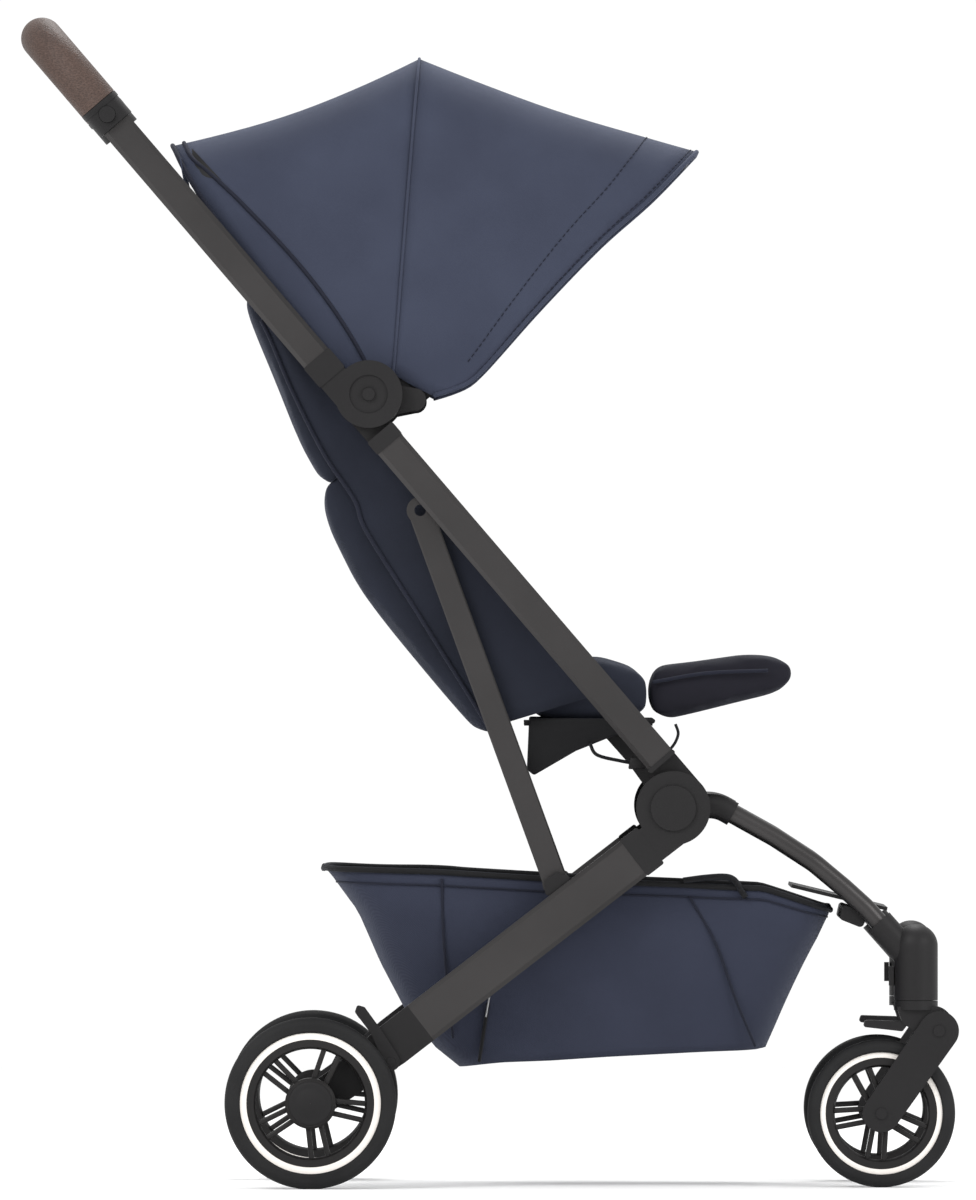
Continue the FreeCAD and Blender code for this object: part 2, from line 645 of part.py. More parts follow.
def seat():
    x, z = HUB
    pan = size("pan_z")
    top = pan + size("pan_thick")
    plate = [(x - 132, pan), (x - 18, pan), (x - 18, top), (x - 132, top)]
    web = [(x - 11, z, 0), (x + 11, z, 0), (x + 8, z + 30, 20), (x - 20, pan + 1), (x - 70, pan + 1),
           (x - 40, z + 40, 30)]
    blank = plates("seat_frame", [(plate, -1, "seat_y * 0", "2 * seat_y - 20")] + [
        layer for way in (-1, 1) for layer in (
            (web, way, "bracket_y", "bracket_thick"),
            ((x, z, 17), way, "bracket_y", "bracket_thick * 2"))])
    keep("seat_frame", cut(blank, across("cross_radius", "400", HUB, 0)))
    blank.Label = "seat_frame_blank"
    base = top + 0.5
    plates("seat_cushion", [([(x - 134, base, 4), (x - 26, base, 6), (x - 25.6, base + 49, 16),
                              (x - 69, base + 56, 40), (x - 128, base + 34, 20)],
                             -1, "seat_y * 0", "2 * seat_y")])
    leg = [(x - 22.5, base + 5, 3), (x + 16, base + 5.2, 30), (x + 62, base + 14, 40),
           (x + 96, base + 25, 8), (x + 107, base + 42, 8), (x + 96, base + 51, 12),
           (x + 62, base + 55, 40), (x + 20, base + 51, 20), (x - 22.5, base + 48, 10)]
    plates("leg_rest", [(leg, -1, "rest_y * 0", "2 * rest_y")])


def backrest():
    """The padded lower half and the slimmer upper half, both leaning along the push tube."""
    lower = [(*on_tube(154, -104), 10), (*on_tube(200, -106), 40), (*on_tube(291, -105), 60),
             (*on_tube(331, -102), 40), (*on_tube(387, -88), 40), (*on_tube(414, -74), 8),
             (*on_tube(416, -54), 8), (*on_tube(380, -52), 30), (*on_tube(320, -66), 60),
             (*on_tube(200, -72), 60), (*on_tube(152, -76), 10)]
    upper = [(*on_tube(419, -68.6), 3), (*on_tube(461, -59.5), 60), (*on_tube(521, -39), 60),
             (*on_tube(592, -14.4), 5), (*on_tube(589, -2), 5), (*on_tube(521, -26), 60),
             (*on_tube(461, -45), 60), (*on_tube(420, -54), 4)]
    plates("backrest_lower", [(lower, -1, "back_y * 0", "2 * back_y")])
    plates("backrest_upper", [(upper, -1, "back_y * 0", "2 * back_y")])


def basket():
    wall = size("basket_wall")
    outer = [(-149, 276), (-118, 240, 40), (-98, 195, 60), (-78, 157, 40), (-50, 120, 12),
             (-32, 102, 14), (4, 108, 30), (236, 120, 14), (250, 130, 14), (288, 198, 60),
             (303, 232, 16), (303, 245, 2), (242, 264, 60), (46, 272, 60), (-42, 280, 30)]
    inner = [(-140, 290, 0), (-116 + wall, 241, 40), (-96 + wall, 195, 60), (-76 + wall, 158, 36),
             (-48, 122 + wall, 10), (-30, 105 + wall, 10), (4, 108 + wall, 30),
             (234, 120 + wall, 12), (248, 133 + wall, 12), (284, 198, 60),
             (299, 232, 14), (299, 290, 0)]
    body = doc.addObject("PartDesign::Body", "Body")
    pad(body, sketch_in(body, "XZ_Plane", [run(outer)]), "2 * basket_y")
    pocket(body, sketch_in(body, "XZ_Plane", [run(inner)]), "2 * basket_y - 2 * basket_wall")
    keep("basket", body)


def front_bar():
    x, z = HUB
    half = size("front_y") - size("front_tube") - 0.3
    bar = [(x + 148, z - 99, 3), (x + 168, z - 107, 4), (x + 174, z - 94, 3), (x + 151, z - 86, 3)]
    plates("front_crossbar", [(bar, -1, "front_y * 0", f"{2 * half}")])
    sheet_top = [(x + 105, z - 71), (x + 190, z - 91.5), (x + 190.7, z - 88.5), (x + 105.7, z - 68)]
    plates("foot_plate", [(sheet_top, -1, "front_y * 0", "2 * plate_y")])


for build in (push_tubes, fold_hinges, handle, hubs, rear_legs, brake_pedal, struts, front_legs,
              casters, wheels, canopy, seat, backrest, basket, front_bar):
    build()

doc.recompute()

for thing in doc.Objects:
    if any(word in thing.State for word in ("Invalid", "Error")):
        raise SystemExit(f"{thing.Label} failed: {thing.State}")
os.makedirs("parts", exist_ok=True)
for label, thing in nodes.items():
    if thing.Shape.isNull() or not thing.Shape.isValid():
        raise SystemExit(f"{label} has no valid shape")
for label, thing in nodes.items():
    thing.Shape.exportStep(f"parts/{label}.step")
    print(f"{label}: {thing.Shape.Volume / 1000:.1f} cm3, {len(thing.Shape.Solids)} solids")
print(len(nodes), "nodes")
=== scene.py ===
"""Folding travel stroller: fabric, wheels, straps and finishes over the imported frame.

Metres, +X forward, +Y to the stroller's left, +Z up.  Soft pieces are placed along the push tube
and the seat, from the joints of the frame.
"""
import json
import math

import bpy
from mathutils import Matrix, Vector, noise


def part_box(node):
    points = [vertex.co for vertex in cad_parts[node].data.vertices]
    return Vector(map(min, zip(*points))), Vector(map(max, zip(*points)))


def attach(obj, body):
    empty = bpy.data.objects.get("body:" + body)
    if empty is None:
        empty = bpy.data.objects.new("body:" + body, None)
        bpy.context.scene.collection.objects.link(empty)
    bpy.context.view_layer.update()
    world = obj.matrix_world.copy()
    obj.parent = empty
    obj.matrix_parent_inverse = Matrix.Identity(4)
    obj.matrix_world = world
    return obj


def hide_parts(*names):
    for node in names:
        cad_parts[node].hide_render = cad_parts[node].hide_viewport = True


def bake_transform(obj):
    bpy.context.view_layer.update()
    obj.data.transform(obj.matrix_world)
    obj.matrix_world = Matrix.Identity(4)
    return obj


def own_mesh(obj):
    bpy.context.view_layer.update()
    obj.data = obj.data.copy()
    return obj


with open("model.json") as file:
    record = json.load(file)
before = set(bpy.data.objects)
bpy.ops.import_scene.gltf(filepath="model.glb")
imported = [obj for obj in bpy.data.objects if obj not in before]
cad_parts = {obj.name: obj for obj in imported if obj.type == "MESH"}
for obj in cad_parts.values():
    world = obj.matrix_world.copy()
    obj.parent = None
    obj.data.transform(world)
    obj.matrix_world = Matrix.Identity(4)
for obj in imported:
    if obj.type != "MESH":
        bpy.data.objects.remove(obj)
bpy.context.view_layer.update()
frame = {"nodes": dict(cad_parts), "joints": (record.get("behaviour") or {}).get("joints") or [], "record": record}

PIVOT = {j["name"]: Vector(j["pos_m"]) for j in frame["joints"] if "pos_m" in j}
HUB = PIVOT["frame_fold"]
CANOPY = PIVOT["canopy_middle_turn"]
PUSH_SLOPE = math.radians(49.4)
TUBE_AHEAD = 0.0191
SIDES = (("right", -1), ("left", 1))
SPLINE_STEPS = 12
CANOPY_HALF, CANOPY_CORNER = 0.1688, 0.062
BACK_HALF, LINER_HALF, SEAT_HALF, REST_HALF, SLING_HALF = 0.146, 0.136, 0.143, 0.1345, 0.1485
PIPING_Y, WING_Y, STRAP_Y = 0.1545, 0.1515, -0.1505
REAR_WHEEL = {"ring_in": 0.0562, "hub": 0.0225, "angles": (67, 138, 210, 280, 351)}
FRONT_WHEEL = {"ring_in": 0.0492, "hub": 0.0135, "angles": (43, 115, 187, 263, 333),
               "half": 0.0085}


def on_tube(along, ahead, y=0.0):
    """Point at a station up the push tube and ahead of its centreline."""
    c, s = math.cos(PUSH_SLOPE), math.sin(PUSH_SLOPE)
    out = ahead + TUBE_AHEAD
    return Vector((HUB.x - along * c + out * s, y, HUB.z + along * s + out * c))


# ------------------------------------------------------------------ shader groups

def new_group(name, inputs, outputs):
    """An empty node group with float inputs {name: value} and outputs {name: socket type}."""
    tree = bpy.data.node_groups.new(name, "ShaderNodeTree")
    for label, value in inputs.items():
        socket = tree.interface.new_socket(label, in_out="INPUT", socket_type="NodeSocketFloat")
        socket.default_value = value
    for label, kind in outputs.items():
        tree.interface.new_socket(label, in_out="OUTPUT", socket_type=kind)
    return tree, tree.nodes.new("NodeGroupInput"), tree.nodes.new("NodeGroupOutput")


def node(tree, kind, settings=None, **links):
    """A node with its settings and its inputs, each a value or another node's socket."""
    made = tree.nodes.new(kind)
    for key, value in (settings or {}).items():
        setattr(made, key, value)
    for key, value in links.items():
        name = key.replace("_", " ")
        index = int(key[1:]) if key[0] == "i" and key[1:].isdigit() else name
        socket = made.inputs[index]
        if isinstance(value, bpy.types.NodeSocket):
            tree.links.new(value, socket)
        else:
            socket.default_value = value
    return made


def maths(tree, operation, a, b=0.0):
    """The output of a math node."""
    return node(tree, "ShaderNodeMath", {"operation": operation}, i0=a, i1=b).outputs[0]


def woven_cloth():
    """Fine twill: a height for the bump, and a colour value with painted shade, raised threads lighter and grooves
    darker, mixed with a slow mottle of the cloth's own tone.
    """
    tree, given, result = new_group("woven_cloth", {"Threads": 5200.0, "Mottle": 14.0},
                                    {"Height": "NodeSocketFloat", "Painted Shade And Mottle": "NodeSocketFloat"})
    where = node(tree, "ShaderNodeTexCoord").outputs["Object"]
    split = node(tree, "ShaderNodeSeparateXYZ", i0=where)
    x, y, z = split.outputs
    warp = maths(tree, "MULTIPLY", maths(tree, "ADD", maths(tree, "ADD", x, z), y),
                 given.outputs["Threads"])
    weft = maths(tree, "MULTIPLY", maths(tree, "SUBTRACT", maths(tree, "ADD", x, y), z),
                 given.outputs["Threads"])
    ribs = maths(tree, "MULTIPLY", maths(tree, "SINE", warp), 0.5)
    fine = maths(tree, "MULTIPLY", maths(tree, "SINE", maths(tree, "MULTIPLY", weft, 2.6)), 0.25)
    slub = node(tree, "ShaderNodeTexNoise", Vector=where, Scale=1400.0, Detail=2.0)
    cloud = node(tree, "ShaderNodeTexNoise", Vector=where, Scale=given.outputs["Mottle"],
                 Detail=3.0)
    height = maths(tree, "ADD", maths(tree, "ADD", ribs, fine), slub.outputs["Fac"])
    # painted shade: the relief height lightens the raised threads and darkens the grooves in the colour; the cloud
    # is the cloth's own mottle
    painted_shade_and_mottle = maths(tree, "ADD", maths(tree, "MULTIPLY", height, 0.35),
                  maths(tree, "MULTIPLY", cloud.outputs["Fac"], 0.55))
    tree.links.new(height, result.inputs["Height"])
    tree.links.new(painted_shade_and_mottle, result.inputs["Painted Shade And Mottle"])
    return tree


def fine_grain():
    """Moulded or blasted grain: a height and a slow variation for colour and roughness."""
    tree, given, result = new_group("fine_grain", {"Grain": 900.0, "Patches": 9.0},
                                    {"Height": "NodeSocketFloat", "Patch": "NodeSocketFloat"})
    where = node(tree, "ShaderNodeTexCoord").outputs["Object"]
    speck = node(tree, "ShaderNodeTexNoise", Vector=where, Scale=given.outputs["Grain"],
                 Detail=2.0)
    patch = node(tree, "ShaderNodeTexNoise", Vector=where, Scale=given.outputs["Patches"],
                 Detail=4.0)
    tree.links.new(speck.outputs["Fac"], result.inputs["Height"])
    tree.links.new(patch.outputs["Fac"], result.inputs["Patch"])
    return tree


GROUPS = {"cloth": woven_cloth(), "grain": fine_grain()}


def placed(tree, group, **values):
    """One of the shared groups, placed in a material's tree."""
    made = tree.nodes.new("ShaderNodeGroup")
    made.node_tree = GROUPS[group]
    for key, value in values.items():
        made.inputs[key].default_value = value
    return made


def new_material(name, roughness, metallic=0.0, **fixed):
    """A material with its Principled shader set; returns the material, its tree and shader."""
    made = bpy.data.materials.new(name)
    made.use_nodes = True
    shader = made.node_tree.nodes["Principled BSDF"]
    shader.inputs["Roughness"].default_value = roughness
    shader.inputs["Metallic"].default_value = metallic
    for key, value in fixed.items():
        shader.inputs[key.replace("_", " ")].default_value = value
    return made, made.node_tree, shader


def ramp(tree, source, low, high, a, b):
    """Colour from a to b as the source goes from low to high."""
    made = node(tree, "ShaderNodeValToRGB", i0=source)
    made.color_ramp.elements[0].position = low
    made.color_ramp.elements[1].position = high
    made.color_ramp.elements[0].color = (*a, 1)
    made.color_ramp.elements[1].color = (*b, 1)
    return made.outputs["Color"]


def bump(tree, shader, height, strength, distance):
    """Fine relief on a shader's normal."""
    made = node(tree, "ShaderNodeBump", Height=height, Strength=strength, Distance=distance)
    tree.links.new(made.outputs["Normal"], shader.inputs["Normal"])


def cloth_material(name, dark, light, sheen, threads=5200.0, strength=0.3):
    """Woven cloth between a dark and a light colour, picked by the weave's painted thread shade and its own
    mottle.
    """
    made, tree, shader = new_material(name, 0.86, Sheen_Weight=sheen, Sheen_Roughness=0.45)
    shader.inputs["Sheen Tint"].default_value = (0.62, 0.7, 0.95, 1)
    shader.inputs["Specular IOR Level"].default_value = 0.25
    weave = placed(tree, "cloth", Threads=threads)
    # base colour carries painted thread shade (raised threads lighter, grooves darker) and the cloth's own mottle
    colour = ramp(tree, weave.outputs["Painted Shade And Mottle"], 0.2, 0.9, dark, light)
    tree.links.new(colour, shader.inputs["Base Color"])
    bump(tree, shader, weave.outputs["Height"], strength, 0.0006)
    return made


def solid_material(name, dark, light, roughness, metallic=0.0, grain=900.0, strength=0.12,
                   specular=0.22):
    """Metal, plastic or rubber: fine grain, and slow patches of colour and roughness."""
    made, tree, shader = new_material(name, roughness, metallic)
    shader.inputs["Specular IOR Level"].default_value = specular
    skin = placed(tree, "grain", Grain=grain)
    colour = ramp(tree, skin.outputs["Patch"], 0.3, 0.75, dark, light)
    tree.links.new(colour, shader.inputs["Base Color"])
    spread = node(tree, "ShaderNodeMapRange", Value=skin.outputs["Patch"])
    spread.inputs["To Min"].default_value = roughness - 0.06
    spread.inputs["To Max"].default_value = roughness + 0.08
    tree.links.new(spread.outputs[0], shader.inputs["Roughness"])
    bump(tree, shader, skin.outputs["Height"], strength, 0.0004)
    return made


def grip_leather():
    """Brown leatherette, embossed with fine slanting dashes, their pits painted darker as shade, with slow patches
    of its own tone.
    """
    made, tree, shader = new_material("grip_leather", 0.55)
    shader.inputs["Specular IOR Level"].default_value = 0.3
    where = node(tree, "ShaderNodeTexCoord").outputs["Object"]
    turned = node(tree, "ShaderNodeMapping", i0=where)
    turned.inputs["Rotation"].default_value = (0.3, 0.75, 0.2)
    turned.inputs["Scale"].default_value = (1.0, 1.0, 2.6)
    cells = node(tree, "ShaderNodeTexVoronoi", Vector=turned.outputs[0], Scale=420.0)
    patch = placed(tree, "grain", Patches=25.0)
    # painted shade: the emboss depth darkens the pressed pits in the colour; the patches are the leather's own
    # tone
    painted_pit_shade_and_patch = maths(tree, "ADD", maths(tree, "MULTIPLY", cells.outputs["Distance"], 0.7),
                maths(tree, "MULTIPLY", patch.outputs["Patch"], 0.5))
    colour = ramp(tree, painted_pit_shade_and_patch, 0.25, 0.8, (0.030, 0.018, 0.014), (0.070, 0.043, 0.034))
    tree.links.new(colour, shader.inputs["Base Color"])
    bump(tree, shader, cells.outputs["Distance"], 0.5, 0.0008)
    return made


def tyre_rubber():
    """Near-black rubber with fine cross-lines on the tread."""
    made, tree, shader = new_material("tyre_rubber", 0.72)
    shader.inputs["Specular IOR Level"].default_value = 0.22
    skin = placed(tree, "grain", Grain=600.0, Patches=20.0)
    colour = ramp(tree, skin.outputs["Patch"], 0.3, 0.75, (0.006, 0.006, 0.0065),
                  (0.013, 0.013, 0.0135))
    tree.links.new(colour, shader.inputs["Base Color"])
    where = node(tree, "ShaderNodeTexCoord").outputs["Object"]
    lines = node(tree, "ShaderNodeTexWave", {"bands_direction": "Y"}, Vector=where, Scale=90.0)
    height = maths(tree, "ADD", maths(tree, "MULTIPLY", lines.outputs["Fac"], 0.6),
                   skin.outputs["Height"])
    bump(tree, shader, height, 0.3, 0.0008)
    return made


NAVY_DARK, NAVY_LIGHT = (0.020, 0.024, 0.042), (0.042, 0.050, 0.080)
FINISH = {
    "tube": solid_material("tube_metal", (0.043, 0.041, 0.041), (0.052, 0.0495, 0.0495), 0.34,
                           0.85, grain=1800.0, strength=0.08, specular=0.3),
    "plastic": solid_material("moulded_plastic", (0.0065, 0.006, 0.0065),
                              (0.0095, 0.009, 0.0095), 0.5, grain=1300.0, strength=0.2),
    "bow_plastic": solid_material("bow_plastic", (0.007, 0.007, 0.008), (0.011, 0.011, 0.012),
                                  0.6),
    "steel": solid_material("axle_steel", (0.30, 0.30, 0.31), (0.42, 0.42, 0.43), 0.3, 1.0),
    "rim": solid_material("rim_plastic", (0.0075, 0.007, 0.007), (0.012, 0.011, 0.011), 0.42,
                          grain=1000.0, strength=0.15),
    "ring": solid_material("white_ring", (0.70, 0.66, 0.62), (0.80, 0.77, 0.73), 0.5),
    "grip": grip_leather(),
    "rubber": tyre_rubber(),
    "canopy_fabric": cloth_material("canopy_cloth", NAVY_DARK, NAVY_LIGHT, 0.12),
    "seat_fabric": cloth_material("seat_cloth", (0.006, 0.0075, 0.0135), (0.015, 0.018, 0.031),
                                  0.08),
    "rest_fabric": cloth_material("leg_rest_cloth", (0.004, 0.0038, 0.0075),
                                  (0.009, 0.0085, 0.0155), 0.04),
    "basket_fabric": cloth_material("basket_cloth", (0.016, 0.019, 0.034),
                                    (0.029, 0.034, 0.057), 0.08),
    "black_fabric": cloth_material("black_cloth", (0.004, 0.004, 0.0045), (0.009, 0.009, 0.010),
                                   0.04),
    "webbing": cloth_material("black_webbing", (0.005, 0.005, 0.0055), (0.011, 0.011, 0.012),
                              0.04, threads=3200.0, strength=0.6),
    "thread": cloth_material("navy_thread", (0.006, 0.007, 0.014), (0.012, 0.014, 0.026), 0.04),
}
FINISH["silver"] = FINISH["steel"]


# ------------------------------------------------------------------ mesh helpers

def piece(name, verts, faces, finish, body, smooth=True):
    """A mesh object with its finish, riding on a body."""
    data = bpy.data.meshes.new(name)
    data.from_pydata([tuple(v) for v in verts], [], faces)
    data.validate()
    if smooth:
        data.shade_smooth()
    made = bpy.data.objects.new(name, data)
    bpy.context.scene.collection.objects.link(made)
    data.materials.append(FINISH[finish])
    if body:
        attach(made, body)
    return made


def add_modifier(made, kind, **settings):
    """A modifier with its settings."""
    modifier = made.modifiers.new(kind.lower(), kind)
    for key, value in settings.items():
        setattr(modifier, key, value)
    return modifier


def applied(made):
    """The object with its modifiers turned into mesh."""
    bpy.context.view_layer.update()
    graph = bpy.context.evaluated_depsgraph_get()
    baked = bpy.data.meshes.new_from_object(made.evaluated_get(graph))
    made.modifiers.clear()
    made.data = baked
    return made


def spline(points, count):
    """Evenly spaced points on a smooth curve through the given ones."""
    ends = [2 * points[0] - points[1]] + list(points) + [2 * points[-1] - points[-2]]
    fine = []
    for i in range(1, len(ends) - 2):
        p0, p1, p2, p3 = ends[i - 1:i + 3]
        for step in range(SPLINE_STEPS):
            t = step / SPLINE_STEPS
            fine.append(0.5 * ((2 * p1) + (p2 - p0) * t + (2 * p0 - 5 * p1 + 4 * p2 - p3) * t ** 2
                               + (3 * p1 - p0 - 3 * p2 + p3) * t ** 3))
    fine.append(points[-1].copy())
    lengths = [0.0]
    for a, b in zip(fine, fine[1:]):
        lengths.append(lengths[-1] + (b - a).length)
    result, i = [], 0
    for k in range(count):
        goal = lengths[-1] * k / (count - 1)
        while i < len(lengths) - 2 and lengths[i + 1] < goal:
            i += 1
        share = (goal - lengths[i]) / max(lengths[i + 1] - lengths[i], 1e-9)
        result.append(fine[i].lerp(fine[i + 1], min(max(share, 0), 1)))
    return result


def tubing(path, radius, sides=8, flat=1.0, across=Vector((0, 1, 0))):
    """Vertices and faces of a cord along a path; flat squeezes it into a strap."""
    verts, faces = [], []
    for i, point in enumerate(path):
        along = (path[min(i + 1, len(path) - 1)] - path[max(i - 1, 0)]).normalized()
        side = across - along * across.dot(along)
        side = side.normalized() if side.length > 1e-4 else along.orthogonal().normalized()
        up = along.cross(side)
        for k in range(sides):
            turn = 2 * math.pi * k / sides
            verts.append(point + side * radius * math.cos(turn) + up * radius * flat
                         * math.sin(turn))
    for i in range(len(path) - 1):
        for k in range(sides):
            a, b = i * sides + k, i * sides + (k + 1) % sides
            faces.append((a, b, b + sides, a + sides))
    last = (len(path) - 1) * sides
    faces.append(tuple(range(sides))[::-1])
    faces.append(tuple(range(last, last + sides)))
    return verts, faces


def cord_piece(name, points, radius, finish, body, count=60, flat=1.0,
               across=Vector((0, 1, 0)), sides=8):
    """A cord or flat strap through the given points, as one piece."""
    verts, faces = tubing(spline(points, count), radius, sides, flat, across)
    return piece(name, verts, faces, finish, body)


def stitches(name, points, finish, body, pitch=0.0055, dash=0.0034, radius=0.0005):
    """A row of stitches along a line, as one piece."""
    length = sum((b - a).length for a, b in zip(points, points[1:]))
    path = spline(points, max(4, int(length / pitch) * 2))
    verts, faces = [], []
    for start, end in zip(path[0::2], path[1::2]):
        middle, reach = (start + end) / 2, (end - start).normalized() * dash / 2
        v, f = tubing([middle - reach, middle + reach], radius, 5)
        faces += [tuple(i + len(verts) for i in face) for face in f]
        verts += v
    return piece(name, verts, faces, finish, body)


def sheet_piece(name, rows, finish, body, thick=0.0):
    """A curved sheet from rows of points, given a thickness."""
    width = len(rows[0])
    verts = [p for row in rows for p in row]
    faces = [(r * width + c, r * width + c + 1, (r + 1) * width + c + 1, (r + 1) * width + c)
             for r in range(len(rows) - 1) for c in range(width - 1)]
    made = piece(name, verts, faces, finish, body)
    if thick:
        add_modifier(made, "SOLIDIFY", thickness=thick, offset=0.0)
        applied(made)
        made.data.shade_smooth()
    return made


def lathe(name, centre, profile, finish, body, steps=96, smooth_angle=35):
    """A piece turned about Y from a profile of (y, radius)."""
    verts, faces = [], []
    count = len(profile)
    for k in range(steps):
        turn = 2 * math.pi * k / steps
        for y, radius in profile:
            verts.append(centre + Vector((radius * math.cos(turn), y, radius * math.sin(turn))))
    for k in range(steps):
        for i in range(count - 1):
            a, b = k * count + i, ((k + 1) % steps) * count + i
            faces.append((a, a + 1, b + 1, b))
    made = piece(name, verts, faces, finish, body)
    made.data.set_sharp_from_angle(angle=math.radians(smooth_angle))
    return made


def slab(name, outline, low, high, finish, body, bevel=0.001, segments=2):
    """A side-view outline of (x, z) carried across from one y to another, with soft edges."""
    count = len(outline)
    verts = [Vector((x, y, z)) for y in (low, high) for x, z in outline]
    faces = [tuple(range(count)), tuple(range(2 * count - 1, count - 1, -1))]
    faces += [(i, i + count, (i + 1) % count + count, (i + 1) % count) for i in range(count)]
    made = piece(name, verts, faces, finish, body, smooth=False)
    add_modifier(made, "BEVEL", width=bevel, segments=segments, limit_method="ANGLE")
    applied(made)
    made.data.shade_smooth()
    made.data.set_sharp_from_angle(angle=math.radians(40))
    return made


# ------------------------------------------------------------------ canopy

def rib_edges():
    """Side-view lines of the canopy's rear edge, middle seam and front edge, foot to tip."""
    x, z = CANOPY.x, CANOPY.z

    def line(*offsets):
        return [Vector((x + a, 0, z + b)) for a, b in offsets]

    rear = [on_tube(0.468, 0.012), on_tube(0.560, 0.010), on_tube(0.650, 0.012),
            on_tube(0.705, 0.019), on_tube(0.7347, 0.0262)]
    middle = line((-0.0185, 0.0220), (-0.011, 0.12), (-0.003, 0.22), (0.0040, 0.3020))
    front = line((0.0154, 0.0031), (0.0358, 0.0098), (0.0568, 0.0230), (0.1120, 0.0840),
                 (0.1655, 0.1395), (0.2105, 0.1795), (0.2500, 0.2200))
    return rear, middle, front


def hoop(edge, half, corner, steps=15):
    """Points of one hoop of the canopy: up one side, round the corner, across and down."""
    reach = sum((b - a).length for a, b in zip(edge, edge[1:]))
    cells = 60
    fine = spline(edge, cells + 1)

    def at(distance, y):
        share = min(max(distance / reach, 0), 1) * cells
        low = min(int(share), cells - 1)
        spot = fine[low].lerp(fine[low + 1], share - low)
        return Vector((spot.x, y, spot.z))

    side = [at((reach - corner) * k / steps, -half) for k in range(steps)]
    bend = [at(reach - corner + corner * math.sin(a), -half + corner * (1 - math.cos(a)))
            for a in [math.pi / 2 * k / 8 for k in range(9)]]
    across = [at(reach, (-half + corner) * (1 - k / 10)) for k in range(1, 11)]
    quarter = side + bend + across
    return quarter + [Vector((p.x, -p.y, p.z)) for p in reversed(quarter[:-1])]


def canopy_half(name, first, second, dip, hollow, cad):
    """One bay of the canopy, stretched between two hoops, sinking a little between them."""
    bays = 14
    a = hoop(first, CANOPY_HALF, CANOPY_CORNER)
    b = hoop(second, CANOPY_HALF, CANOPY_CORNER)
    middle = len(a) // 2
    rows = []
    for i in range(bays + 1):
        u = i / bays
        sag = 4 * u * (1 - u)
        row = []
        for k, (p, q) in enumerate(zip(a, b)):
            spot = p.lerp(q, u)
            top = max(0.0, 1 - abs(k - middle) / (middle * 0.62))
            height = min(1.0, 1.5 * (1 - abs(k - middle) / middle))
            away = (spot - Vector((CANOPY.x, spot.y, CANOPY.z))).normalized()
            spot = spot - away * dip * sag * min(1.0, 0.25 + 1.2 * height)
            wave = noise.noise(Vector((spot.x * 9, spot.y * 7, spot.z * 9)))
            pull = hollow * sag * math.sin(math.pi * min(1, height)) * (1 if top < 0.05 else 0.3)
            spot.y -= math.copysign(pull, spot.y) if abs(spot.y) > 0.02 else 0
            spot += away * wave * 0.0012
            row.append(spot)
        rows.append(row)
    made = sheet_piece(name, rows, "canopy_fabric", None, 0.0016)
    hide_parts(cad)
    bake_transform(made)
    return rows


def canopy():
    """Both bays, their seam, piping, zip, hem and stitches, and the back curtain."""
    rear, middle, front = rib_edges()
    back = canopy_half("canopy_cover_rear", rear, middle,
                       0.008, 0.0008, "canopy_rear_panel")
    ahead = canopy_half("canopy_cover_front", middle, front,
                        0.005, 0.0015, "canopy_front_panel")
    cord_piece("canopy_seam", [p + lift(p, 0.0010) for p in back[-1]], 0.0013, "canopy_fabric",
               "canopy_middle", 160)
    cord_piece("canopy_rear_piping", [p + lift(p, 0.0012) for p in back[0]], 0.0022, "thread",
               "upper_frame", 160)
    turn, zip_line = len(back[0]) // 2, []
    for k in range(len(back[0])):
        share = 5.6 * max(0.0, 1 - 1.7 * (1 - abs(k - turn) / turn)) + 0.6
        low = int(share)
        spot = back[low][k].lerp(back[low + 1][k], share - low)
        zip_line.append(spot + lift(spot, 0.0014))
    made = cord_piece("canopy_rear_zip", zip_line, 0.0019, "thread", None, 200)
    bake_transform(made)
    cord_piece("canopy_front_hem", [p + lift(p, 0.0006) for p in ahead[-1]], 0.0021,
               "canopy_fabric", "canopy_front", 160)
    stitches("canopy_hem_stitches", [p.lerp(q, 0.3) + lift(p, 0.0011)
                                     for p, q in zip(ahead[-1], ahead[-2])], "thread",
             "canopy_front")
    band = [p.lerp(q, 0.45) + lift(p, 0.0012) for p, q in zip(ahead[-3], ahead[-4])]
    stitches("canopy_band_stitches", band[3:-3], "thread", "canopy_front")
    curtain()


def lift(point, height):
    """An outward step from the canopy's middle, for what lies on its cloth."""
    away = Vector((point.x - CANOPY.x, 0, point.z - CANOPY.z)).normalized() * 0.5
    if abs(point.y) > 0.12:
        away.y += math.copysign(1.0, point.y)
    else:
        away *= 2
    return away.normalized() * height


def curtain():
    """The back cloth between the rear bow and the top of the backrest, hanging from the bow."""
    rows, bays, cells = [], 12, 24
    top, foot = (0.722, 0.024), (0.592, -0.012)
    for i in range(bays + 1):
        u = i / bays
        along = top[0] + (foot[0] - top[0]) * u
        ahead = top[1] + (foot[1] - top[1]) * u - 0.012 * math.sin(math.pi * u)
        half = 0.160 - 0.012 * u
        row = []
        for k in range(cells + 1):
            y = -half + 2 * half * k / cells
            ripple = 0.0015 * math.sin(9 * math.pi * k / cells) * math.sin(math.pi * u)
            row.append(on_tube(along, ahead - ripple, y))
        rows.append(row)
    made = sheet_piece("canopy_back_curtain", rows, "canopy_fabric", "upper_frame", 0.0014)


# ------------------------------------------------------------------ padded pieces

